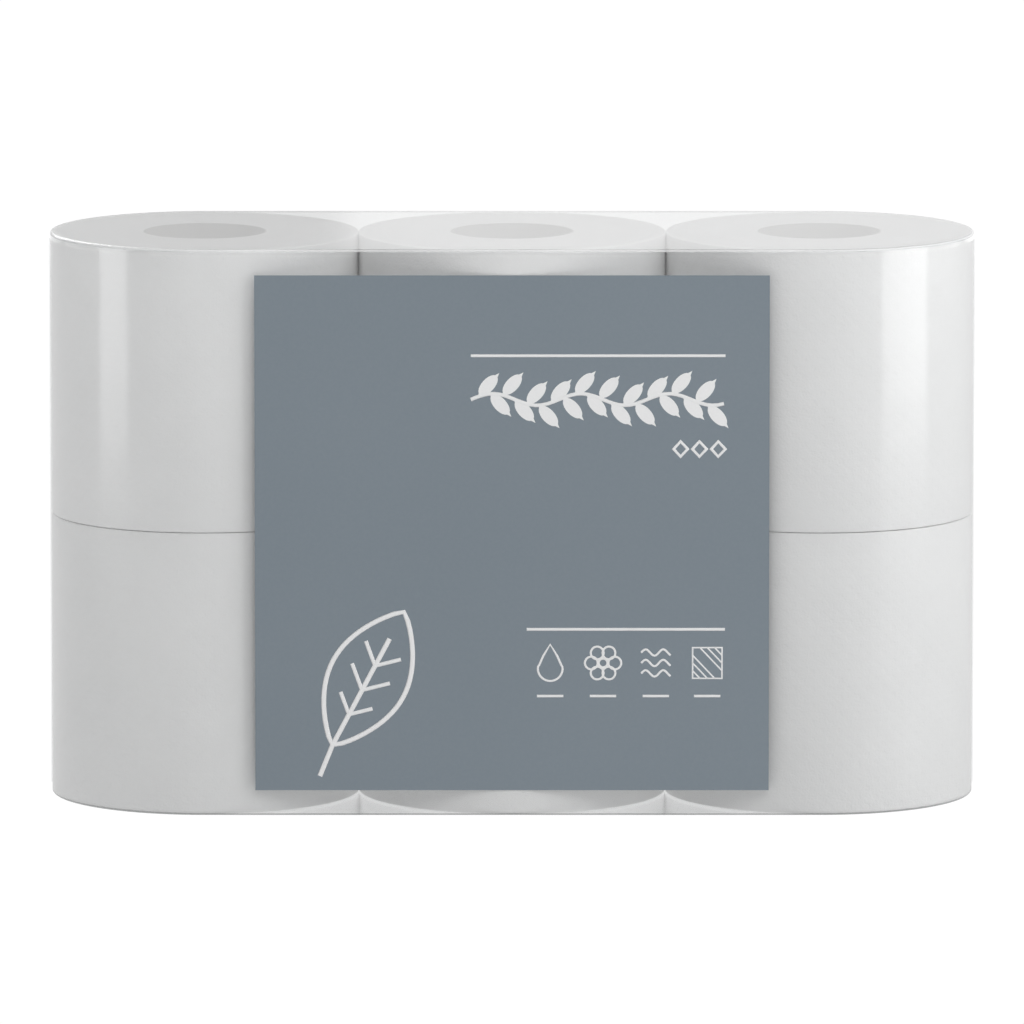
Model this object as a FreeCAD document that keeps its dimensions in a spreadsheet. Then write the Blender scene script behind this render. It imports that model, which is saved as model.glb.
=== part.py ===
import FreeCAD, Part
import math
import os

import Sketcher

# A retail pack of six toilet paper rolls. The rolls stand on end, three across and two high,
# inside a skin of clear shrink film that is welded down both ends, with a label stuck on the front.
# The pack stands on Z = 0 with its long side along X and its front towards -Y. Lengths are in mm.

SIZES = (
    ("roll_diameter", 105.0, "wound roll, measured over the loose end of the paper"),
    ("roll_width", 97.0, "width of the paper web, which is the height of a standing roll"),
    ("roll_gap", 0.3, "slit between two neighbouring rolls"),
    ("tail_step", 0.4, "step at the loose end, one three-ply sheet thick"),
    ("soft_edge", 0.7, "edge that the log saw leaves round a roll, where the film is drawn over it"),
    ("core_bore", 41.0, "inside diameter of the board tube"),
    ("core_wall", 0.6, "wall of the tube, two plies of board"),
    ("core_fit", 0.1, "room between the tube and the first turn of paper"),
    ("film_thickness", 0.25, "wall of the film, thicker than the real one so that it can be meshed"),
    ("film_gap", 0.3, "room between the film and the sides of the rolls"),
    ("weld_width", 0.9, "width of the weld down each end of the pack"),
    ("weld_height", 0.4, "how far the weld stands out of the film"),
    ("label_inset", 17.8, "from the axis of an outer roll in to the side of the label"),
    ("label_margin", 8.75, "from the top or the base of the pack to the label"),
    ("label_thickness", 0.15, "label paper with its adhesive"),
)

COLUMNS = (("left", -1), ("middle", 0), ("right", 1))

# Where the loose end of each roll lies, in degrees about its own axis: at the back of the pack.
TAIL_ANGLES = {
    "upper_left": 118.0,
    "upper_middle": 76.0,
    "upper_right": 97.0,
    "lower_left": 84.0,
    "lower_middle": 109.0,
    "lower_right": 67.0,
}

# Distances that several pieces share, written from the sizes above.
ROLL_RADIUS = "sizes.roll_diameter / 2"
COLUMN_PITCH = "(sizes.roll_diameter + sizes.roll_gap)"
CORE_OUTSIDE = "(sizes.core_bore + 2 * sizes.core_wall)"
PAPER_BORE = "(" + CORE_OUTSIDE + " + 2 * sizes.core_fit)"
FILM_INNER_RADIUS = "(sizes.roll_diameter / 2 + sizes.film_gap)"
FILM_OUTER_RADIUS = "(" + FILM_INNER_RADIUS + " + sizes.film_thickness)"
STACK_HEIGHT = "(2 * sizes.roll_width)"
PACK_HEIGHT = "(" + STACK_HEIGHT + " + 2 * sizes.film_thickness)"
LAYER_PLANE = "(sizes.film_thickness + sizes.roll_width)"

FULL_TURN = 360.0
HALF_TURN = 180.0

doc = FreeCAD.newDocument("toilet_paper_roll_pack")
sheet = doc.addObject("Spreadsheet::Sheet", "sizes")


def fill_sheet():
    for row, (alias, length, meaning) in enumerate(SIZES, 1):
        sheet.set(f"A{row}", alias)
        sheet.set(f"B{row}", str(length))
        sheet.set(f"C{row}", meaning)
        sheet.setAlias(f"B{row}", alias)
    doc.recompute()


def number(expression):
    return float(sheet.evalExpression(expression))


def point(x, y):
    return FreeCAD.Vector(x, y, 0)


def new_body(name):
    body = doc.addObject("PartDesign::Body", name)
    body.Label = name
    return body


def new_sketch(body, name, plane, offset=None):
    """A sketch on one of the body's own planes, moved along that plane's normal by offset."""
    support = next(f for f in body.Origin.OriginFeatures if f.Role == plane)
    sketch = body.newObject("Sketcher::SketchObject", name)
    sketch.AttachmentSupport = [(support, "")]
    sketch.MapMode = "FlatFace"
    if offset is not None:
        sketch.setExpression("AttachmentOffset.Base.z", offset)
    return sketch


def bind(sketch, kind, elements, expression, name):
    """Adds a dimension to the sketch and ties it to the sheet."""
    index = sketch.addConstraint(Sketcher.Constraint(kind, *elements, number(expression)))
    sketch.renameConstraint(index, name)
    sketch.setExpression("Constraints." + name, expression)


def add_circle(sketch, diameter, name):
    """A circle about the sketch's origin."""
    circle = Part.Circle(point(0, 0), FreeCAD.Vector(0, 0, 1), number(diameter) / 2)
    index = sketch.addGeometry(circle)
    sketch.addConstraint(Sketcher.Constraint("Coincident", index, 3, -1, 1))
    bind(sketch, "Diameter", (index,), diameter, name)
    return index


def add_arc(sketch, centre, radius, first, last):
    circle = Part.Circle(centre, FreeCAD.Vector(0, 0, 1), radius)
    return sketch.addGeometry(Part.ArcOfCircle(circle, math.radians(first), math.radians(last)))


def add_polygon(sketch, corners, name):
    """A closed outline whose corners are pairs of expressions."""
    places = [point(number(x), number(y)) for x, y in corners]
    lines = []
    for here, there in zip(places, places[1:] + places[:1]):
        lines.append(sketch.addGeometry(Part.LineSegment(here, there)))
    for line, following in zip(lines, lines[1:] + lines[:1]):
        sketch.addConstraint(Sketcher.Constraint("Coincident", line, 2, following, 1))
    for place, (line, (x, y)) in enumerate(zip(lines, corners)):
        bind(sketch, "DistanceX", (-1, 1, line, 1), x, f"{name}_x{place}")
        bind(sketch, "DistanceY", (-1, 1, line, 1), y, f"{name}_y{place}")


def add_stadium(sketch, radius, name):
    """The outline that a tight skin takes round a row of rolls: two half circles and two straights."""
    reach = COLUMN_PITCH + " * " + str(len(COLUMNS) // 2)
    end = number(reach)
    half_width = number(radius)
    right = add_arc(sketch, point(end, 0), half_width, -90, 90)
    left = add_arc(sketch, point(-end, 0), half_width, 90, 270)
    back = sketch.addGeometry(Part.LineSegment(point(end, half_width), point(-end, half_width)))
    front = sketch.addGeometry(Part.LineSegment(point(-end, -half_width), point(end, -half_width)))
    for arc, straight in ((right, back), (back, left), (left, front), (front, right)):
        sketch.addConstraint(Sketcher.Constraint("Tangent", arc, 2, straight, 1))
    sketch.addConstraint(Sketcher.Constraint("Horizontal", back))
    sketch.addConstraint(Sketcher.Constraint("PointOnObject", right, 3, -1))
    sketch.addConstraint(Sketcher.Constraint("Symmetric", left, 3, right, 3, -1, 1))
    bind(sketch, "DistanceX", (-1, 1, right, 3), reach, name + "_reach")
    bind(sketch, "Radius", (right,), radius, name + "_radius")


def pad(body, sketch, length, name):
    feature = body.newObject("PartDesign::Pad", name)
    feature.Profile = sketch
    feature.setExpression("Length", length)
    doc.recompute()


# The paper of one roll. Its section is a spiral's last turn: two half circles whose radii differ by
# half a sheet, closed by the step at the loose end. A log saw cuts the rolls off square. The end that
# faces out keeps a softened edge, and the other end is pressed square against the roll in line with it.


def winding_section(body):
    sketch = new_sketch(body, body.Name + "_section", "XY_Plane")
    radius = number(ROLL_RADIUS)
    step = number("sizes.tail_step")
    outer_half = add_arc(sketch, point(0, 0), radius, 0, HALF_TURN)
    inner_half = add_arc(sketch, point(-step / 2, 0), radius - step / 2, HALF_TURN, FULL_TURN)
    tail = sketch.addGeometry(Part.LineSegment(point(radius - step, 0), point(radius, 0)))
    for constraint in (
        ("Coincident", outer_half, 3, -1, 1),
        ("PointOnObject", outer_half, 1, -1),
        ("PointOnObject", outer_half, 2, -1),
        ("Coincident", outer_half, 2, inner_half, 1),
        ("PointOnObject", inner_half, 3, -1),
        ("Coincident", inner_half, 2, tail, 1),
        ("Coincident", tail, 2, outer_half, 1),
        ("Horizontal", tail),
    ):
        sketch.addConstraint(Sketcher.Constraint(*constraint))
    bind(sketch, "Radius", (outer_half,), ROLL_RADIUS, "roll_radius")
    bind(sketch, "Distance", (tail,), "sizes.tail_step", "tail_step")
    add_circle(sketch, PAPER_BORE, "paper_bore")
    return sketch


def edge_section(body):
    """The corner that is missing from the rim, a triangle that is swept round the roll's axis."""
    sketch = new_sketch(body, body.Name + "_edge_section", "XZ_Plane")
    inside = ROLL_RADIUS + " - sizes.soft_edge"
    outside = ROLL_RADIUS + " + sizes.soft_edge"
    end = "sizes.roll_width"
    corners = ((inside, end), (outside, end), (outside, end + " - 2 * sizes.soft_edge"))
    add_polygon(sketch, corners, "corner")
    return sketch


def make_roll(layer, column, side):
    """The paper stands on the plane between the layers; a lower roll is turned over to hang from it."""
    place = f"{layer}_{column}"
    body = new_body("roll_" + place)
    pad(body, winding_section(body), "sizes.roll_width", body.Name + "_web")
    section = edge_section(body)
    groove = body.newObject("PartDesign::Groove", body.Name + "_edge")
    groove.Profile = section
    groove.ReferenceAxis = (section, ["V_Axis"])
    groove.Angle = FULL_TURN
    turned_over = FreeCAD.Rotation(FreeCAD.Vector(1, 0, 0), HALF_TURN if layer == "lower" else 0)
    tail = FreeCAD.Rotation(FreeCAD.Vector(0, 0, 1), TAIL_ANGLES[place])
    stand(body, side, LAYER_PLANE, tail * turned_over)


# The tube inside a roll, wound from board and sawn with the paper, so it is just as long.


def make_core(layer, column, side):
    body = new_body(f"core_{layer}_{column}")
    sketch = new_sketch(body, body.Name + "_section", "XY_Plane")
    add_circle(sketch, "sizes.core_bore", "core_bore")
    add_circle(sketch, CORE_OUTSIDE, "core_outside")
    pad(body, sketch, "sizes.roll_width", body.Name + "_tube")
    base = LAYER_PLANE if layer == "upper" else "sizes.film_thickness"
    stand(body, side, base, FreeCAD.Rotation())


def stand(body, side, base, rotation):
    body.Placement = FreeCAD.Placement(FreeCAD.Vector(), rotation)
    body.setExpression("Placement.Base.x", f"{side} * {COLUMN_PITCH}")
    body.setExpression("Placement.Base.z", base)


# The film. A sheet folded over the top of the rolls is welded down both ends and along the base, and
# shrunk until it is tight. It is one closed skin with a crisp crease round the top and the base, flat
# between the fronts of the rolls and round at the ends, and a narrow weld stands out down the middle
# of each end. The weld under the base is pressed flush by the weight of the pack.


def weld_section(body):
    """The two welds, each from half way into the film's wall out to its free edge."""
    sketch = new_sketch(body, "weld_section", "XY_Plane")
    reach = f"({len(COLUMNS) // 2} * {COLUMN_PITCH} + {FILM_OUTER_RADIUS})"
    root = reach + " - sizes.film_thickness / 2"
    crest = reach + " + sizes.weld_height"
    half = "sizes.weld_width / 2"
    for side, sign in (("left", "-"), ("right", "")):
        inner = f"{sign}({root})"
        outer = f"{sign}({crest})"
        add_polygon(sketch, ((inner, "-" + half), (outer, "-" + half), (outer, half), (inner, half)), side)
    return sketch


def make_film():
    body = new_body("film_wrap")
    outline = new_sketch(body, "film_outline", "XY_Plane")
    add_stadium(outline, FILM_OUTER_RADIUS, "outline")
    pad(body, outline, PACK_HEIGHT, "film_block")
    pad(body, weld_section(body), PACK_HEIGHT, "film_welds")
    inside = new_sketch(body, "film_inside", "XY_Plane", "sizes.film_thickness")
    add_stadium(inside, FILM_INNER_RADIUS, "inside")
    cavity = body.newObject("PartDesign::Pocket", "film_cavity")
    cavity.Profile = inside
    cavity.Reversed = True
    cavity.setExpression("Length", STACK_HEIGHT)


# The label, a sheet of paper stuck flat on the film where it spans the fronts of the three rolls.


def make_label():
    body = new_body("front_label")
    sketch = new_sketch(body, "label_outline", "XZ_Plane", FILM_OUTER_RADIUS)
    side = f"({COLUMN_PITCH} - sizes.label_inset)"
    low = "sizes.label_margin"
    high = PACK_HEIGHT + " - sizes.label_margin"
    add_polygon(sketch, (("-" + side, low), (side, low), (side, high), ("-" + side, high)), "corner")
    pad(body, sketch, "sizes.label_thickness", "label_sheet")


def check(bodies):
    for thing in doc.Objects:
        if "Invalid" in thing.State or "Error" in thing.State:
            raise RuntimeError(f"{thing.Label} failed: {thing.State}")
    for body in bodies:
        if body.Shape.isNull() or not body.Shape.isValid():
            raise RuntimeError(f"{body.Label} has no valid shape")


def write(bodies):
    os.makedirs("parts", exist_ok=True)
    for body in bodies:
        body.Shape.exportStep(os.path.join("parts", body.Label + ".step"))
        print(f"{body.Label}: {len(body.Shape.Solids)} solid, {body.Shape.Volume:.1f} mm3")


fill_sheet()
for layer in ("lower", "upper"):
    for column, side in COLUMNS:
        make_core(layer, column, side)
        make_roll(layer, column, side)
make_film()
make_label()
doc.recompute()
pieces = [thing for thing in doc.Objects if thing.TypeId == "PartDesign::Body"]
check(pieces)
write(pieces)
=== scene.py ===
import math
import random

import bmesh
import bpy
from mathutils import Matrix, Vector


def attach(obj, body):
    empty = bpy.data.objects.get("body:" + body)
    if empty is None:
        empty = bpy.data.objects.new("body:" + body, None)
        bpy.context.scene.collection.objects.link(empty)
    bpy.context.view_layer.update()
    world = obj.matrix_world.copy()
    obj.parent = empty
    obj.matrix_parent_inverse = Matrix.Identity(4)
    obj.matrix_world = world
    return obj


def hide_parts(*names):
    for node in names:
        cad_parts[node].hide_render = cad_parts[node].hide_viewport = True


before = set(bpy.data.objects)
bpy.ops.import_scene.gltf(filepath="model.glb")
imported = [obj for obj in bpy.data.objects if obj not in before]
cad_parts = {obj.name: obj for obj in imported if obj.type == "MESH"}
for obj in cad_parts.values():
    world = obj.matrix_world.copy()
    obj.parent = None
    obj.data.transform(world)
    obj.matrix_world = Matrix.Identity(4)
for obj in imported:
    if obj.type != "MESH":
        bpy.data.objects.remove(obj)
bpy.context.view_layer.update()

# The paper of the six rolls. Each is about 150 turns of white three-ply tissue, wound tight on its
# tube and sawn off square, so its ends show the cut edges of the turns. The last turn ends in a
# loose edge, which is turned to the back of the pack.

ROLL_PITCH = 0.1053
ROLL_RADIUS = 0.0525
ROLL_WIDTH = 0.097
PAPER_BORE_RADIUS = 0.0212
LAYER_PLANE = 0.09725
TAIL_STEP = 0.0004
SAWN_EDGE = 0.0007
SWELL = 0.0003
PRESSED_GAP = 0.00002
TURN_STEPS = 180
BAND_CUTS = 17
BAND_DEPTH = 0.00024
EMBOSSED_COLUMNS = 52
EMBOSSED_ROW = 0.0058
BUMP_DISTANCE = 0.0003
NEAR = 1e-5

COLUMNS = {"left": -ROLL_PITCH, "middle": 0.0, "right": ROLL_PITCH}
TAIL_ANGLES = {
    "upper_left": 118.0,
    "upper_middle": 76.0,
    "upper_right": 97.0,
    "lower_left": 84.0,
    "lower_middle": 109.0,
    "lower_right": 67.0,
}


def only(piece):
    """Leaves just this piece selected, and active."""
    bpy.ops.object.select_all(action="DESELECT")
    piece.select_set(True)
    bpy.context.view_layer.objects.active = piece


def name_new(name):
    piece = bpy.context.object
    piece.name = name
    piece.data.name = name
    return piece


def pick(piece, kind, test):
    """Opens the piece in edit mode and selects the elements of one kind whose middle passes the test."""
    only(piece)
    bpy.ops.object.mode_set(mode="EDIT")
    bpy.ops.mesh.select_mode(type=kind)
    bpy.ops.mesh.select_all(action="DESELECT")
    shape = bmesh.from_edit_mesh(piece.data)
    if kind == "VERT":
        chosen = [v for v in shape.verts if test(v.co)]
    elif kind == "EDGE":
        chosen = [e for e in shape.edges if test((e.verts[0].co + e.verts[1].co) / 2)]
    else:
        chosen = [f for f in shape.faces if test(f.calc_center_median())]
    for element in chosen:
        element.select_set(True)
    shape.select_flush_mode()
    bmesh.update_edit_mesh(piece.data)


def close_edit():
    bpy.ops.object.mode_set(mode="OBJECT")


def settle(piece):
    """Moves the piece's place, turn and scale into its mesh, as the CAD nodes have them."""
    only(piece)
    bpy.ops.object.transform_apply(location=True, rotation=True, scale=True)


def face_outwards(piece):
    pick(piece, "FACE", lambda middle: True)
    bpy.ops.mesh.normals_make_consistent(inside=False)
    close_edit()


def new_material(name, build):
    material = bpy.data.materials.new(name)
    material.use_nodes = True
    tree = material.node_tree
    build(tree, tree.nodes["Principled BSDF"])
    return material


def add_node(tree, kind, settings=None, **inputs):
    """A shader node with some of its inputs set to a value or joined to another node's output.

    An input is called by its name, with _ for a space, or by i and its number.
    """
    node = tree.nodes.new(kind)
    for key, value in (settings or {}).items():
        setattr(node, key, value)
    for key, value in inputs.items():
        numbered = key[0] == "i" and key[1:].isdigit()
        socket = node.inputs[int(key[1:]) if numbered else key.replace("_", " ")]
        if isinstance(value, bpy.types.NodeSocket):
            tree.links.new(value, socket)
        else:
            socket.default_value = value
    return node


def smooth_step(tree, value, low, high, start=0.0, end=1.0):
    """Goes smoothly from start to end while the value goes from low to high."""
    settings = {"interpolation_type": "SMOOTHSTEP"}
    node = add_node(tree, "ShaderNodeMapRange", settings, i0=value, i1=low, i2=high, i3=start, i4=end)
    return node.outputs[0]


def math_node(tree, operation, first, second=0.0, third=0.0):
    node = add_node(tree, "ShaderNodeMath", {"operation": operation}, i0=first, i1=second, i2=third)
    return node.outputs[0]


def mix_colours(tree, factor, first, second):
    node = add_node(tree, "ShaderNodeMix", {"data_type": "RGBA"}, i0=factor, i6=first, i7=second)
    return node.outputs[2]


def roll_coordinates(tree):
    """The place, its distance and angle from the axis of the nearest roll, and its height."""
    place = add_node(tree, "ShaderNodeTexCoord").outputs["Object"]
    parts = add_node(tree, "ShaderNodeSeparateXYZ", i0=place)
    across = math_node(tree, "WRAP", parts.outputs[0], ROLL_PITCH / 2, -ROLL_PITCH / 2)
    depth = parts.outputs[1]
    across_squared = math_node(tree, "POWER", across, 2.0)
    squares = math_node(tree, "ADD", across_squared, math_node(tree, "POWER", depth, 2.0))
    radius = math_node(tree, "SQRT", squares)
    angle = math_node(tree, "ARCTAN2", across, math_node(tree, "MULTIPLY", depth, -1.0))
    return place, radius, angle, parts.outputs[2]


def tissue_side(tree, shader):
    place, _, angle, height = roll_coordinates(tree)
    clouds = add_node(tree, "ShaderNodeTexNoise", Vector=place, Scale=38.0, Detail=3.0, Roughness=0.55)
    fibres = add_node(tree, "ShaderNodeTexNoise", Vector=place, Scale=1400.0, Detail=2.0, Roughness=0.6)
    tone = math_node(tree, "MULTIPLY_ADD", fibres.outputs[0], 0.35, clouds.outputs[0])
    spread = add_node(tree, "ShaderNodeMapRange", i0=tone, i1=0.35, i2=0.95, i3=0.0, i4=1.0)
    colour = mix_colours(tree, spread.outputs[0], (0.865, 0.867, 0.865, 1), (0.905, 0.906, 0.903, 1))
    tree.links.new(colour, shader.inputs["Base Color"])
    shader.inputs["Roughness"].default_value = 0.95
    shader.inputs["Specular IOR Level"].default_value = 0.15
    shader.inputs["Sheen Weight"].default_value = 0.08
    shader.inputs["Sheen Roughness"].default_value = 0.6
    # Embossed dots in staggered rows, 3.17 mm apart, so that a whole number goes round the roll.
    along = math_node(tree, "MULTIPLY", angle, EMBOSSED_COLUMNS)
    up = math_node(tree, "MULTIPLY", height, 2 * math.pi / EMBOSSED_ROW)
    rows = math_node(tree, "MULTIPLY", math_node(tree, "COSINE", along), math_node(tree, "COSINE", up))
    dots = smooth_step(tree, rows, 0.25, 0.85)
    relief = math_node(tree, "MULTIPLY_ADD", dots, -0.35, fibres.outputs[0])
    dents = add_node(tree, "ShaderNodeTexNoise", Vector=place, Scale=70.0, Detail=1.0)
    relief = math_node(tree, "MULTIPLY_ADD", dents.outputs[0], 2.0, relief)
    bump = add_node(tree, "ShaderNodeBump", Strength=0.45, Distance=BUMP_DISTANCE, Height=relief)
    tree.links.new(bump.outputs[0], shader.inputs["Normal"])


def tissue_sawn_end(tree, shader):
    place, radius, angle, height = roll_coordinates(tree)
    # The turns climb outwards by one sheet in each round, and lie looser in some bands than in others.
    spiral = math_node(tree, "MULTIPLY_ADD", angle, -TAIL_STEP / (2 * math.pi), radius)
    lift = math_node(tree, "MULTIPLY", height, 3.0)
    rings = add_node(tree, "ShaderNodeCombineXYZ", i0=spiral, i1=lift, i2=0.0).outputs[0]
    bands = add_node(tree, "ShaderNodeTexNoise", Vector=rings, Scale=620.0, Detail=2.0, Roughness=0.6)
    turns = math_node(tree, "SINE", math_node(tree, "MULTIPLY", spiral, 2 * math.pi / TAIL_STEP))
    fluff = add_node(tree, "ShaderNodeTexNoise", Vector=place, Scale=900.0, Detail=2.0)
    tone = math_node(tree, "MULTIPLY_ADD", fluff.outputs[0], 0.4, bands.outputs[0])
    spread = add_node(tree, "ShaderNodeMapRange", i0=tone, i1=0.4, i2=1.0, i3=0.0, i4=1.0)
    colour = mix_colours(tree, spread.outputs[0], (0.77, 0.772, 0.77, 1), (0.915, 0.916, 0.913, 1))
    tree.links.new(colour, shader.inputs["Base Color"])
    shader.inputs["Roughness"].default_value = 1.0
    shader.inputs["Specular IOR Level"].default_value = 0.1
    shader.inputs["Sheen Weight"].default_value = 0.1
    shader.inputs["Sheen Roughness"].default_value = 0.7
    relief = math_node(tree, "MULTIPLY_ADD", turns, 0.3, tone)
    bump = add_node(tree, "ShaderNodeBump", Strength=0.8, Distance=BUMP_DISTANCE, Height=relief)
    tree.links.new(bump.outputs[0], shader.inputs["Normal"])


side_paper = new_material("tissue_side", tissue_side)
sawn_paper = new_material("tissue_sawn_end", tissue_sawn_end)

# The wound paper's section, from the tube out to the last turn: a plate that is later spun round
# the axis.
web = ROLL_RADIUS - PAPER_BORE_RADIUS
bpy.ops.mesh.primitive_plane_add(
    size=1.0,
    location=(PAPER_BORE_RADIUS + web / 2, 0.0, ROLL_WIDTH / 2),
    rotation=(math.radians(90.0), 0.0, 0.0),
)
wound_roll = name_new("wound_roll")
wound_roll.scale = (web, ROLL_WIDTH, 1.0)
settle(wound_roll)
for end_height in (0.0, ROLL_WIDTH):
    pick(wound_roll, "EDGE", lambda middle: abs(middle.z - end_height) < NEAR)
    bpy.ops.mesh.subdivide(number_cuts=BAND_CUTS)
    close_edit()
chance = random.Random(14)
for end_height in (0.0, ROLL_WIDTH):
    inward = 1 if end_height == 0.0 else -1
    for band in range(1, BAND_CUTS + 1):
        radius = PAPER_BORE_RADIUS + web * band / (BAND_CUTS + 1)
        shift = web / (BAND_CUTS + 1) * chance.uniform(-0.3, 0.3)
        depth = BAND_DEPTH * chance.uniform(0.0, 1.0)
        pick(wound_roll, "VERT", lambda co: abs(co.x - radius) < NEAR and abs(co.z - end_height) < NEAR)
        bpy.ops.transform.translate(value=(shift, 0.0, inward * depth))
        close_edit()
pick(wound_roll, "VERT", lambda co: co.x > ROLL_RADIUS - NEAR)
bpy.ops.mesh.bevel(offset=SAWN_EDGE, segments=3, affect="VERTICES")
bpy.ops.mesh.select_all(action="SELECT")
bpy.ops.mesh.delete(type="ONLY_FACE")
bpy.ops.mesh.select_all(action="SELECT")
close_edit()
section_count = len(wound_roll.data.vertices)
pick(wound_roll, "EDGE", lambda middle: True)
bpy.ops.mesh.spin(
    steps=TURN_STEPS,
    angle=2 * math.pi,
    center=(0.0, 0.0, 0.0),
    axis=(0.0, 0.0, 1.0),
    use_auto_merge=False,
)
close_edit()

# The radius hardly changes for most of the way round, and falls by one step at the loose end. The
# loss fades out towards the tube.
for number, vertex in enumerate(wound_roll.data.vertices):
    turned = (number // section_count) / TURN_STEPS
    radius = math.hypot(vertex.co.x, vertex.co.y)
    outwards = 0.05 + 0.95 * (radius - PAPER_BORE_RADIUS) / web
    nearer = (radius + SWELL * outwards - TAIL_STEP * turned**6 * outwards) / radius
    vertex.co.x *= nearer
    vertex.co.y *= nearer
only(wound_roll)
bpy.ops.object.mode_set(mode="EDIT")
bpy.ops.mesh.select_mode(type="EDGE")
bpy.ops.mesh.select_all(action="DESELECT")
bpy.ops.mesh.select_non_manifold()
bpy.ops.mesh.bridge_edge_loops()
close_edit()
face_outwards(wound_roll)

wound_roll.data.materials.append(side_paper)
wound_roll.data.materials.append(sawn_paper)
end_band = (PAPER_BORE_RADIUS + 1e-4, ROLL_RADIUS - SAWN_EDGE)
pick(
    wound_roll,
    "FACE",
    lambda middle: end_band[0] < math.hypot(middle.x, middle.y) < end_band[1]
    and abs(middle.z - ROLL_WIDTH / 2) > ROLL_WIDTH / 2 - 0.001,
)
wound_roll.active_material_index = 1
bpy.ops.object.material_slot_assign()
close_edit()
only(wound_roll)
bpy.ops.object.shade_smooth_by_angle(angle=math.radians(40.0))

for place, tail_angle in TAIL_ANGLES.items():
    layer, column = place.split("_")
    only(wound_roll)
    bpy.ops.object.duplicate(linked=False)
    paper = name_new("paper_" + place)
    if layer == "lower":
        bpy.ops.transform.rotate(value=math.pi, orient_axis="X", center_override=(0.0, 0.0, 0.0))
        settle(paper)
    turn = -math.radians(tail_angle)
    bpy.ops.transform.rotate(value=turn, orient_axis="Z", center_override=(0.0, 0.0, 0.0))
    bpy.ops.transform.translate(value=(COLUMNS[column], 0.0, LAYER_PLANE))
    settle(paper)
    # The film presses the rolls of a row together, so that they are a little flat where they meet.
    for side in (-1, 1):
        if column == "middle" or COLUMNS[column] * side < 0:
            flat = COLUMNS[column] + side * (ROLL_PITCH / 2 - PRESSED_GAP / 2)
            pick(paper, "VERT", lambda co: (co.x - flat) * side > 0.0)
            bpy.ops.transform.resize(value=(0.0, 1.0, 1.0), center_override=(flat, 0.0, 0.0))
            close_edit()
    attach(paper, "root")
    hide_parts("roll_" + place)
bpy.data.objects.remove(wound_roll)

# The tubes inside the rolls. Each is wound in a spiral from two strips of pale grey board, glued
# together and sawn to length with the paper, which leaves a square, slightly ragged rim.

TUBE_BORE_RADIUS = 0.0205
TUBE_WALL = 0.0006
TUBE_SIDES = 120
STRIP_LEAD = 0.078
JOINT_SHARE = 0.006
RIM_BEVEL = 0.00012


def board(tree, shader):
    place, _, angle, height = roll_coordinates(tree)
    # The butt joint of the inner strip climbs round the tube.
    climb = math_node(tree, "MULTIPLY_ADD", angle, STRIP_LEAD / (2 * math.pi), height)
    share = math_node(tree, "FRACT", math_node(tree, "DIVIDE", climb, STRIP_LEAD))
    from_joint = math_node(tree, "ABSOLUTE", math_node(tree, "SUBTRACT", share, 0.5))
    joint = smooth_step(tree, from_joint, 0.0, JOINT_SHARE, 1.0, 0.0)
    flecks = add_node(tree, "ShaderNodeTexNoise", Vector=place, Scale=900.0, Detail=4.0, Roughness=0.7)
    clouds = add_node(tree, "ShaderNodeTexNoise", Vector=place, Scale=90.0, Detail=2.0)
    tone = math_node(tree, "MULTIPLY_ADD", clouds.outputs[0], 0.5, flecks.outputs[0])
    spread = add_node(tree, "ShaderNodeMapRange", i0=tone, i1=0.45, i2=1.05, i3=0.0, i4=1.0)
    colour = mix_colours(tree, spread.outputs[0], (0.50, 0.495, 0.485, 1), (0.62, 0.615, 0.605, 1))
    joint_tint = math_node(tree, "MULTIPLY", joint, 0.6)
    colour = mix_colours(tree, joint_tint, colour, (0.42, 0.405, 0.38, 1))
    tree.links.new(colour, shader.inputs["Base Color"])
    shader.inputs["Roughness"].default_value = 0.85
    shader.inputs["Specular IOR Level"].default_value = 0.25
    relief = math_node(tree, "MULTIPLY_ADD", joint, -2.0, flecks.outputs[0])
    bump = add_node(tree, "ShaderNodeBump", Strength=0.4, Distance=0.0001, Height=relief)
    tree.links.new(bump.outputs[0], shader.inputs["Normal"])


tube_board = new_material("tube_board", board)

bpy.ops.mesh.primitive_cylinder_add(
    vertices=TUBE_SIDES,
    radius=TUBE_BORE_RADIUS + TUBE_WALL,
    depth=ROLL_WIDTH,
    end_fill_type="NGON",
    location=(0.0, 0.0, ROLL_WIDTH / 2),
)
wound_tube = name_new("wound_tube")
settle(wound_tube)
pick(wound_tube, "FACE", lambda middle: math.hypot(middle.x, middle.y) < 0.001)
bpy.ops.mesh.inset(thickness=TUBE_WALL, use_individual=True)
bpy.ops.mesh.bridge_edge_loops()
close_edit()
rim_radii = (TUBE_BORE_RADIUS, TUBE_BORE_RADIUS + TUBE_WALL)
pick(
    wound_tube,
    "EDGE",
    lambda middle: abs(middle.z - ROLL_WIDTH / 2) > ROLL_WIDTH / 2 - NEAR
    and min(abs(math.hypot(middle.x, middle.y) - r) for r in rim_radii) < 2e-5,
)
bpy.ops.mesh.bevel(offset=RIM_BEVEL, segments=2, affect="EDGES")
close_edit()
face_outwards(wound_tube)
wound_tube.data.materials.append(tube_board)
only(wound_tube)
bpy.ops.object.shade_smooth_by_angle(angle=math.radians(50.0))

for place, tail_angle in TAIL_ANGLES.items():
    layer, column = place.split("_")
    only(wound_tube)
    bpy.ops.object.duplicate(linked=False)
    tube = name_new("tube_" + place)
    drop = ROLL_WIDTH if layer == "lower" else 0.0
    turn = -math.radians(tail_angle)
    bpy.ops.transform.rotate(value=turn, orient_axis="Z", center_override=(0.0, 0.0, 0.0))
    bpy.ops.transform.translate(value=(COLUMNS[column], 0.0, LAYER_PLANE - drop))
    settle(tube)
    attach(tube, "root")
    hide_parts("core_" + place)
bpy.data.objects.remove(wound_tube)

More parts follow.
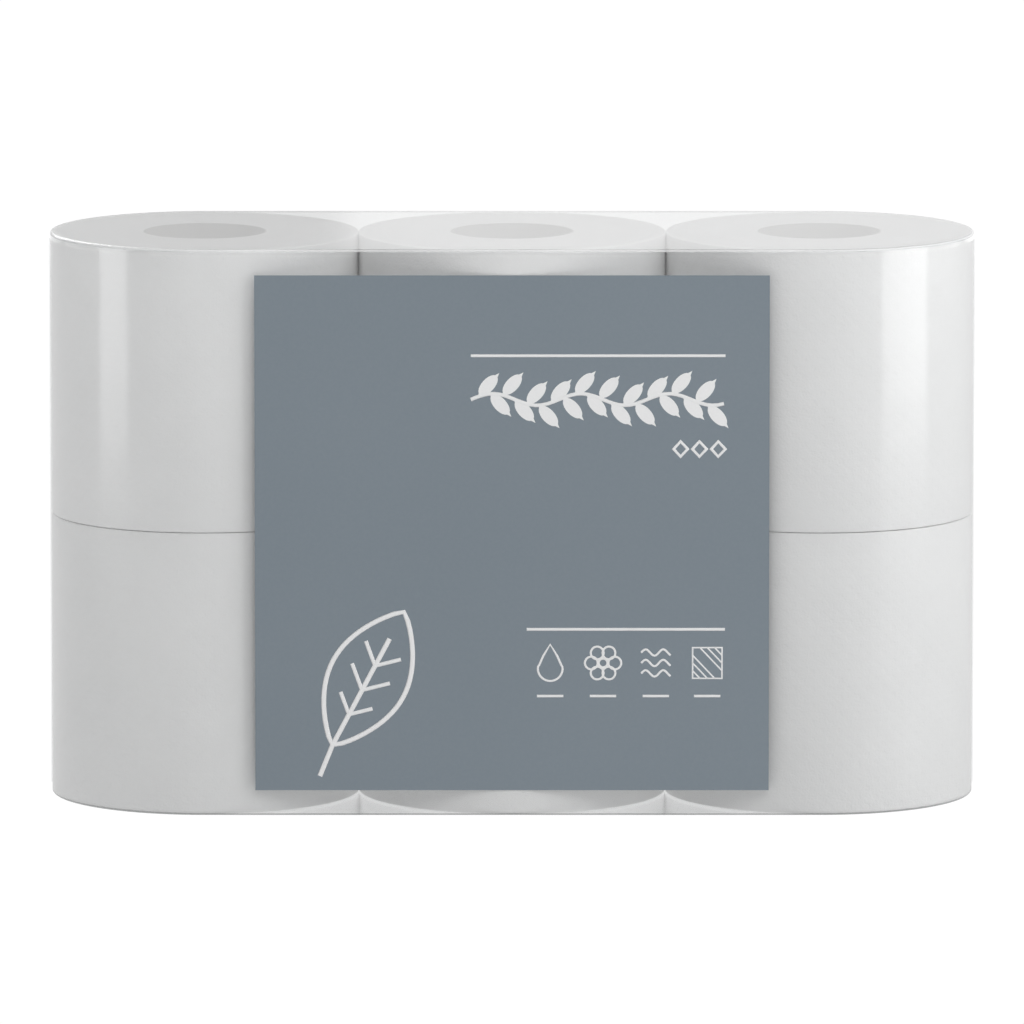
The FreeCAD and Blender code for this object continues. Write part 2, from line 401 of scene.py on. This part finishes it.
# The film: a folded sheet of clear shrink film, welded down both ends and shrunk tight. It lies
# flat over the rows in front and behind, goes round the outer rolls, and has narrow rounded creases.
# How it is closed is a guess, as the photo shows no fold.

FILM_RADIUS = 0.05305
FILM_HEIGHT = 0.1945
FILM_SIDES = 192
WELD_WIDTH = 0.0009
WELD_HEIGHT = 0.0004
CREASE = 0.0009
FLAT_MARGIN = 0.0025
MIRROR_SQUARE_ON = 0.077
MIRROR_SKIMMING = 0.9
MIRROR_POWER = 3.3
# The share of painted light on the creases: a whitish painted highlight on the top crease and a grey painted
# shade on the bottom crease.
CREASE_PAINTED_LIGHT = 0.6


def clear_film(tree, shader):
    place = add_node(tree, "ShaderNodeTexCoord").outputs["Object"]
    pull = add_node(tree, "ShaderNodeMapping", {"vector_type": "POINT"}, Vector=place, Scale=(1.0, 1.0, 0.45))
    pulled = pull.outputs[0]
    waves = add_node(tree, "ShaderNodeTexNoise", Vector=pulled, Scale=26.0, Detail=2.0, Roughness=0.45)
    ripples = add_node(tree, "ShaderNodeTexNoise", Vector=pulled, Scale=160.0, Detail=1.0)
    relief = math_node(tree, "MULTIPLY_ADD", ripples.outputs[0], 0.06, waves.outputs[0])
    # Over the flat ends of the rolls the film is drawn tighter than it is round their sides.
    faces = add_node(tree, "ShaderNodeTexCoord").outputs["Normal"]
    upright = math_node(tree, "ABSOLUTE", add_node(tree, "ShaderNodeSeparateXYZ", i0=faces).outputs[2])
    relief = math_node(tree, "MULTIPLY", relief, math_node(tree, "MULTIPLY_ADD", upright, -0.93, 1.0))
    bump = add_node(tree, "ShaderNodeBump", Strength=0.5, Distance=0.0012, Height=relief)
    shine = add_node(tree, "ShaderNodeBsdfGlossy", Color=(1, 1, 1, 1), Roughness=0.15, Normal=bump.outputs[0])
    clear = add_node(tree, "ShaderNodeBsdfTransparent", Color=(0.985, 0.988, 0.99, 1))
    # Both faces of a thin film together mirror about 8% of the light that meets it square on, and
    # most of what skims it.
    slant = add_node(tree, "ShaderNodeLayerWeight", Blend=0.5).outputs["Facing"]
    skimming = math_node(tree, "POWER", slant, MIRROR_POWER)
    mirror_share = math_node(tree, "MULTIPLY_ADD", skimming, MIRROR_SKIMMING, MIRROR_SQUARE_ON)
    skin = add_node(tree, "ShaderNodeMixShader", i0=mirror_share, i1=clear.outputs[0], i2=shine.outputs[0])
    # The haze colour is painted light. It goes from dull grey at the foot to whitish at the top, so the
    # whitish top crease is a painted highlight, the grey bottom crease is a painted shade, and the faint haze
    # over the whole film is painted darker towards the bottom.
    height = add_node(tree, "ShaderNodeSeparateXYZ", i0=place).outputs[2]
    painted_light_by_height = add_node(tree, "ShaderNodeMapRange", i0=height, i1=0.0, i2=FILM_HEIGHT, i3=0.0, i4=1.0)
    colour = mix_colours(tree, painted_light_by_height.outputs[0], (0.30, 0.31, 0.31, 1), (0.93, 0.935, 0.94, 1))
    tree.links.new(colour, shader.inputs["Base Color"])
    shader.inputs["Roughness"].default_value = 0.4
    leaves_side = smooth_step(tree, upright, 0.12, 0.4)
    meets_top = smooth_step(tree, upright, 0.8, 0.98)
    crease_for_painted_light = math_node(tree, "SUBTRACT", leaves_side, meets_top)
    haze_and_painted_light = math_node(tree, "MULTIPLY_ADD", waves.outputs[0], 0.04, 0.03)
    # On the creases the haze share rises, and carries the painted highlight along the top crease and the
    # painted shade along the bottom crease.
    haze_and_painted_light = math_node(tree, "MULTIPLY_ADD", crease_for_painted_light, CREASE_PAINTED_LIGHT, haze_and_painted_light)
    surface = add_node(tree, "ShaderNodeMixShader", i0=haze_and_painted_light, i1=skin.outputs[0], i2=shader.outputs[0])
    tree.links.new(surface.outputs[0], tree.nodes["Material Output"].inputs["Surface"])


shrink_film = new_material("clear_shrink_film", clear_film)

bpy.ops.mesh.primitive_circle_add(
    vertices=FILM_SIDES,
    radius=FILM_RADIUS / math.cos(math.pi / FILM_SIDES),
    fill_type="NOTHING",
    rotation=(0.0, 0.0, math.pi / FILM_SIDES),
)
film = name_new("film_skin")
settle(film)
# The ring is parted in front and behind, and each half moves out round the end roll of the row.
for side in (-1, 1):
    pick(film, "VERT", lambda co: co.x * side > 0.0)
    bpy.ops.transform.translate(value=(side * ROLL_PITCH, 0.0, 0.0))
    close_edit()
pick(film, "EDGE", lambda middle: True)
bpy.ops.mesh.edge_face_add()
bpy.ops.mesh.extrude_region_move(TRANSFORM_OT_translate={"value": (0.0, 0.0, FILM_HEIGHT)})
close_edit()
face_outwards(film)
pick(film, "EDGE", lambda middle: min(middle.z, FILM_HEIGHT - middle.z) < NEAR)
bpy.ops.mesh.bevel(offset=CREASE, segments=4, affect="EDGES")
close_edit()
# Narrow strips beside the creases keep the wide faces between them flat.
for cut in (FLAT_MARGIN, FILM_HEIGHT - FLAT_MARGIN):
    pick(film, "FACE", lambda middle: True)
    bpy.ops.mesh.bisect(plane_co=(0.0, 0.0, cut), plane_no=(0.0, 0.0, 1.0))
    close_edit()
pick(film, "FACE", lambda middle: min(middle.z, FILM_HEIGHT - middle.z) < NEAR)
bpy.ops.mesh.inset(thickness=FLAT_MARGIN, use_individual=True)
close_edit()
# The welds: a narrow rib stands out of the film down each end.
film_reach = ROLL_PITCH + FILM_RADIUS
pick(
    film,
    "FACE",
    lambda middle: abs(middle.x) > film_reach - NEAR and abs(middle.z - FILM_HEIGHT / 2) < 1e-4,
)
side_width = 2 * FILM_RADIUS * math.tan(math.pi / FILM_SIDES)
bpy.ops.mesh.inset(thickness=(side_width - WELD_WIDTH) / 2, use_individual=True)
bpy.ops.mesh.extrude_region_shrink_fatten(TRANSFORM_OT_shrink_fatten={"value": WELD_HEIGHT})
close_edit()
film.data.materials.append(shrink_film)
only(film)
bpy.ops.object.shade_smooth_by_angle(angle=math.radians(40.0))
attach(film, "root")
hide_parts("film_wrap")

# The label: one square of matte paper, printed grey-blue with fine white figures, and stuck on the
# film in the middle of the front. Its corners are square and it lies quite flat.

LABEL_WIDTH = 0.175
LABEL_LOW = 0.00875
LABEL_HIGH = 0.18575
LABEL_FACE = -0.0532
LABEL_BACK = -0.05305
INK = 0.00003
PAPER_FACE = LABEL_FACE + INK
LABEL_MIDDLE = (LABEL_LOW + LABEL_HIGH) / 2
LABEL_BEVEL = 0.00004


def printed_paper(tree, shader):
    place = add_node(tree, "ShaderNodeTexCoord").outputs["Object"]
    fibres = add_node(tree, "ShaderNodeTexNoise", Vector=place, Scale=1100.0, Detail=3.0, Roughness=0.6)
    clouds = add_node(tree, "ShaderNodeTexNoise", Vector=place, Scale=14.0, Detail=1.0)
    tone = math_node(tree, "MULTIPLY_ADD", clouds.outputs[0], 0.8, fibres.outputs[0])
    spread = add_node(tree, "ShaderNodeMapRange", i0=tone, i1=0.5, i2=1.3, i3=0.0, i4=1.0)
    colour = mix_colours(tree, spread.outputs[0], (0.221, 0.264, 0.302, 1), (0.240, 0.283, 0.321, 1))
    tree.links.new(colour, shader.inputs["Base Color"])
    shader.inputs["Roughness"].default_value = 0.62
    shader.inputs["Specular IOR Level"].default_value = 0.3
    bump = add_node(tree, "ShaderNodeBump", Strength=0.15, Distance=0.00005, Height=fibres.outputs[0])
    tree.links.new(bump.outputs[0], shader.inputs["Normal"])


def white_ink(tree, shader):
    place = add_node(tree, "ShaderNodeTexCoord").outputs["Object"]
    grain = add_node(tree, "ShaderNodeTexNoise", Vector=place, Scale=1500.0, Detail=2.0)
    colour = mix_colours(tree, grain.outputs[0], (0.90, 0.905, 0.91, 1), (0.95, 0.952, 0.955, 1))
    tree.links.new(colour, shader.inputs["Base Color"])
    shader.inputs["Roughness"].default_value = 0.6
    shader.inputs["Specular IOR Level"].default_value = 0.3


label_paper = new_material("label_paper", printed_paper)
label_ink = new_material("label_ink", white_ink)

bpy.ops.mesh.primitive_cube_add(
    size=1.0,
    location=(0.0, (PAPER_FACE + LABEL_BACK) / 2, LABEL_MIDDLE),
    scale=(LABEL_WIDTH, LABEL_BACK - PAPER_FACE, LABEL_HIGH - LABEL_LOW),
)
label = name_new("label_sheet")
settle(label)
pick(label, "EDGE", lambda middle: middle.y < PAPER_FACE + 1e-6)
bpy.ops.mesh.bevel(offset=LABEL_BEVEL, segments=2, affect="EDGES")
close_edit()
label.data.materials.append(label_paper)
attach(label, "root")
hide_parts("front_label")

# The label's print: thin white figures in a generic design, with a garland of leaves over a rule,
# one large leaf in outline, and four small signs. The ink stands a hair's breadth off the paper.
# Where figures overlap they differ in height, so that no two flat tops lie in one plane. All of it
# is drawn in millimetres, to the right and up from the label's middle.

MILLIMETRE = 0.001
RULE_WIDTH = 1.0
LEAF_LINE = 1.7
SIGN_LINE = 0.75
PRINT_RIGHT = 72.5


def press(shape, height=INK):
    """Lays a figure that was drawn flat, in millimetres from the label's middle, on the label's paper."""
    only(shape)
    bpy.ops.object.convert(target="MESH")
    shape.scale = (MILLIMETRE, MILLIMETRE, 1.0)
    bpy.ops.object.transform_apply(location=False, rotation=False, scale=True)
    thickness = max(vertex.co.z for vertex in shape.data.vertices)
    shape.scale = (1.0, 1.0, height / thickness)
    shape.rotation_euler = (math.radians(90.0), 0.0, 0.0)
    shape.location = (0.0, PAPER_FACE, LABEL_MIDDLE)
    settle(shape)
    shape.data.materials.clear()
    shape.data.materials.append(label_ink)
    return shape


def draw_line(points, width, closed=False, height=INK):
    """A printed line through the points: a round bead that is later pressed flat."""
    line = bpy.data.curves.new("line", "CURVE")
    line.dimensions = "3D"
    line.bevel_depth = width / 2
    line.bevel_resolution = 1
    line.use_fill_caps = not closed
    run = line.splines.new("POLY")
    run.points.add(len(points) - 1)
    for place, (across, up) in zip(run.points, points):
        place.co = (across, up, 0.0, 1.0)
    run.use_cyclic_u = closed
    shape = bpy.data.objects.new("line", line)
    bpy.context.scene.collection.objects.link(shape)
    return press(shape, height)


def draw_leaf(across, up, length, width, turn, height):
    """A filled leaf with its stalk's end at the given point, turned by so many degrees."""
    bpy.ops.mesh.primitive_circle_add(vertices=24, radius=0.5, fill_type="NGON", location=(0.5, 0.0, 0.0))
    leaf = bpy.context.object
    settle(leaf)
    for tip, reach in ((0.0, -0.1), (1.0, 0.16)):
        pick(leaf, "VERT", lambda co: abs(co.x - tip) < 1e-4)
        bpy.ops.transform.translate(value=(reach, 0.0, 0.0))
        close_edit()
    pick(leaf, "FACE", lambda middle: True)
    bpy.ops.mesh.extrude_region_move(TRANSFORM_OT_translate={"value": (0.0, 0.0, 1.0)})
    close_edit()
    leaf.scale = (length, width, 1.0)
    leaf.rotation_euler = (0.0, 0.0, math.radians(turn))
    leaf.location = (across, up, 0.0)
    settle(leaf)
    return press(leaf, height)


def round_points(across, up, radius, start=0.0, sweep=360.0, steps=36):
    """Points round a circle, or round an arc of it, with the angles in degrees."""
    points = []
    for step in range(steps + (sweep < 360.0)):
        angle = math.radians(start + sweep * step / steps)
        points.append((across + radius * math.cos(angle), up + radius * math.sin(angle)))
    return points


def print_together(name, shapes):
    """Makes one piece of the figures, and sticks it on the label."""
    bpy.ops.object.select_all(action="DESELECT")
    for shape in shapes:
        shape.select_set(True)
    bpy.context.view_layer.objects.active = shapes[0]
    bpy.ops.object.join()
    piece = name_new(name)
    face_outwards(piece)
    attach(piece, "root")


STEM_LEFT = -14.0
STEM_STEP = 2.0
LEAF_PITCH = 8.2
LEAF_SHIFT = 4.1
LEAF_SIZE = (8.6, 4.4)
LEAF_TURN = 48.0


def stem_height(across):
    """The garland's stem is a gentle wave."""
    return 46.0 + 2.0 * math.sin((across - STEM_LEFT) / STEM_STEP * 0.42)


stem_places = [STEM_LEFT + STEM_STEP * number for number in range(44)]
garland = [draw_line([(across, stem_height(across)) for across in stem_places], 1.3)]
for number in range(10):
    across = -11.0 + LEAF_PITCH * number
    garland.append(draw_leaf(across, stem_height(across) + 0.5, *LEAF_SIZE, LEAF_TURN, INK * 0.5))
    across += LEAF_SHIFT
    garland.append(draw_leaf(across, stem_height(across) - 0.5, *LEAF_SIZE, -LEAF_TURN, INK * 0.6))
print_together("print_garland", garland)

rules = [
    draw_line([(-14.0, 61.0), (PRINT_RIGHT, 61.0)], RULE_WIDTH),
    draw_line([(5.0, -33.0), (PRINT_RIGHT, -33.0)], RULE_WIDTH),
]
for number in range(3):
    across = 57.3 + 6.4 * number
    diamond = [(across, 31.6), (across + 2.4, 29.0), (across, 26.4), (across - 2.4, 29.0)]
    rules.append(draw_line(diamond, 1.3, True))
print_together("print_rules", rules)

# The large leaf: two arcs that meet in a point, a rib down the middle and veins in pairs.
lean = math.radians(62.0)


def lean_over(points):
    return [
        (
            -49.0 + along * math.cos(lean) - aside * math.sin(lean),
            -50.0 + along * math.sin(lean) + aside * math.cos(lean),
        )
        for along, aside in points
    ]


LEAF_LENGTH = 52.0
LEAF_HALF_WIDTH = 13.5
outline = []
for step in range(25):
    share = step / 24
    outline.append((LEAF_LENGTH * (share - 0.5), LEAF_HALF_WIDTH * math.sin(math.pi * share) ** 0.8))
for step in range(23, 0, -1):
    share = step / 24
    outline.append((LEAF_LENGTH * (share - 0.5), -LEAF_HALF_WIDTH * math.sin(math.pi * share) ** 0.8))
rib = [(-LEAF_LENGTH * 0.72, -1.2), (-LEAF_LENGTH * 0.5, 0.0), (LEAF_LENGTH * 0.3, 0.0)]
large_leaf = [
    draw_line(lean_over(outline), LEAF_LINE, True),
    draw_line(lean_over(rib), LEAF_LINE, height=INK * 0.9),
]
for along in (-14.0, -4.5, 5.0):
    for aside in (-1, 1):
        reach = 7.6 - abs(along + 2.0) * 0.12
        vein = lean_over([(along, 0.0), (along + reach * 0.9, aside * reach)])
        large_leaf.append(draw_line(vein, LEAF_LINE * 0.8, height=INK * (0.7 + 0.05 * aside)))
print_together("print_large_leaf", large_leaf)

# The small signs: a drop, a flower, three waves and a quilted square, each over a short bar.
SIGN_MIDDLES = (13.0, 31.0, 49.0, 66.5)
SQUARE_LEFT, SQUARE_RIGHT = 61.5, 71.5
SQUARE_LOW, SQUARE_TOP = -49.9, -39.3
QUILT_ACROSS = 2.5
QUILT_UP = 2.65

signs = []
drop_side = [(13.0, -38.2), (10.6, -42.2), (9.2, -45.4)] + round_points(13.0, -46.6, 4.2, 170.0, 200.0, 18)
signs.append(draw_line(drop_side + [(16.8, -45.4), (15.4, -42.2)], SIGN_LINE, True))
for petal in range(6):
    turn = math.radians(60.0 * petal)
    signs.append(
        draw_line(
            round_points(31.0 + 4.0 * math.cos(turn), -44.6 + 4.0 * math.sin(turn), 2.2, steps=18),
            SIGN_LINE,
            True,
            INK * (0.8 + 0.1 * (petal % 2)),
        )
    )
signs.append(draw_line(round_points(31.0, -44.6, 1.5, steps=16), SIGN_LINE, True, INK * 0.6))
for wave in range(3):
    height = -41.0 - 3.6 * wave
    signs.append(
        draw_line([(44.0 + 0.5 * n, height + 1.1 * math.sin(n * 0.5236)) for n in range(21)], SIGN_LINE)
    )
square = [
    (SQUARE_LEFT, SQUARE_TOP),
    (SQUARE_RIGHT, SQUARE_TOP),
    (SQUARE_RIGHT, SQUARE_LOW),
    (SQUARE_LEFT, SQUARE_LOW),
]
signs.append(draw_line(square, SIGN_LINE, True))
for number in (1, 2, 3):
    across = SQUARE_LEFT + QUILT_ACROSS * number
    lower_seam = [(SQUARE_LEFT, SQUARE_LOW + QUILT_UP * number), (across, SQUARE_LOW)]
    upper_seam = [(across, SQUARE_TOP), (SQUARE_RIGHT, SQUARE_TOP - QUILT_UP * (4 - number))]
    signs.append(draw_line(lower_seam, SIGN_LINE * 0.7))
    signs.append(draw_line(upper_seam, SIGN_LINE * 0.7))
for across in SIGN_MIDDLES:
    signs.append(draw_line([(across - 4.5, -56.0), (across + 4.5, -56.0)], SIGN_LINE * 1.2))
print_together("print_signs", signs)

# The stage: a wide white floor under soft studio light, and a long lens from a little above.

FLOOR_DROP = 0.0002
FLOOR_GLOW = 1.46
FLOOR_SEEN = 1.02
WORLD_STRENGTH = 0.28

bpy.ops.mesh.primitive_plane_add(size=14.0, location=(0.0, 0.0, -FLOOR_DROP))
floor = name_new("floor")


def white_floor(tree, shader):
    """Burnt out to white in the picture, while it lights the pack as a plain pale floor does."""
    place = add_node(tree, "ShaderNodeTexCoord").outputs["Object"]
    grain = add_node(tree, "ShaderNodeTexNoise", Vector=place, Scale=3.0)
    colour = mix_colours(tree, grain.outputs[0], (0.49, 0.49, 0.49, 1), (0.51, 0.51, 0.51, 1))
    lit = add_node(tree, "ShaderNodeEmission", Color=colour, Strength=FLOOR_GLOW)
    burnt_out = add_node(tree, "ShaderNodeEmission", Color=(1, 1, 1, 1), Strength=FLOOR_SEEN)
    straight = add_node(tree, "ShaderNodeLightPath").outputs["Is Camera Ray"]
    seen = add_node(tree, "ShaderNodeMixShader", i0=straight, i1=lit.outputs[0], i2=burnt_out.outputs[0])
    tree.links.new(seen.outputs[0], tree.nodes["Material Output"].inputs["Surface"])
    tree.nodes.remove(shader)


floor.data.materials.append(new_material("white_floor", white_floor))


def add_softbox(name, place, aim, size, radiance, lights_paper=True, shines=True):
    """A lamp that can be left out of the diffuse light or out of the film's gloss.

    The places, sizes and strengths were set by comparing tones with the photo.
    """
    bpy.ops.object.light_add(type="AREA", location=place)
    lamp = name_new(name)
    lamp.data.shape = "RECTANGLE"
    lamp.data.size, lamp.data.size_y = size
    lamp.rotation_euler = (Vector(aim) - Vector(place)).to_track_quat("-Z", "Y").to_euler()
    lamp.data.energy = radiance * math.pi * size[0] * size[1]
    lamp.visible_camera = False
    lamp.visible_diffuse = lights_paper
    lamp.visible_glossy = shines


add_softbox("front_softbox", (0.15, -1.7, 1.45), (0.0, 0.0, 0.1), (1.5, 0.9), 1.8)
add_softbox("overhead_softbox", (0.25, 0.1, 1.3), (0.0, 0.0, 0.1), (1.6, 1.2), 1.03)
add_softbox("right_softbox", (0.92, -0.38, 0.6), (0.105, 0.0, 0.6), (0.66, 1.2), 1.6)
add_softbox("left_softbox", (-0.758, -0.251, 0.48), (-0.105, 0.0, 0.48), (0.3, 0.9), 1.6, lights_paper=False)
add_softbox("left_fill", (-1.4, -0.4, 0.5), (-0.1, 0.0, 0.1), (0.9, 0.9), 1.0, shines=False)
add_softbox("right_fill", (1.4, -0.5, 0.25), (0.1, 0.0, 0.1), (0.9, 0.5), 1.0, shines=False)
add_softbox("back_fill", (-0.7, 1.9, 1.1), (0.0, 0.0, 0.1), (1.0, 0.8), 2.6)
add_softbox("back_left_card", (-0.9, 1.5, 0.45), (-0.9, 0.0, 0.45), (1.65, 0.9), 0.36)
add_softbox("back_right_card", (0.75, 1.5, 0.45), (0.75, 0.0, 0.45), (1.65, 0.9), 0.6)
add_softbox("right_card", (1.6, 0.0, 0.45), (0.0, 0.0, 0.45), (2.2, 0.9), 0.6, lights_paper=False)
add_softbox("left_card", (-1.7, 0.0, 0.45), (0.0, 0.0, 0.45), (2.2, 0.9), 0.5, lights_paper=False)
add_softbox("front_card", (0.0, -1.7, 0.45), (0.0, 0.0, 0.45), (3.2, 0.9), 0.6, lights_paper=False)

world = bpy.data.worlds.new("studio")
bpy.context.scene.world = world
world.use_nodes = True
world.node_tree.nodes["Background"].inputs["Color"].default_value = (1, 1, 1, 1)
world.node_tree.nodes["Background"].inputs["Strength"].default_value = WORLD_STRENGTH

CAMERA_DISTANCE = 5.0
CAMERA_LIFT = math.radians(8.38)
AIM_HEIGHT = 0.0968
SENSOR_WIDTH = 36.0
LENS = 511.35
bpy.ops.object.camera_add(
    location=(
        0.0,
        -CAMERA_DISTANCE * math.cos(CAMERA_LIFT),
        AIM_HEIGHT + CAMERA_DISTANCE * math.sin(CAMERA_LIFT),
    ),
    rotation=(math.radians(90.0) - CAMERA_LIFT, 0.0, 0.0),
)
camera = bpy.context.object
camera.data.sensor_width = SENSOR_WIDTH
camera.data.lens = LENS
bpy.context.scene.camera = camera
bpy.context.scene.view_settings.view_transform = "Standard"
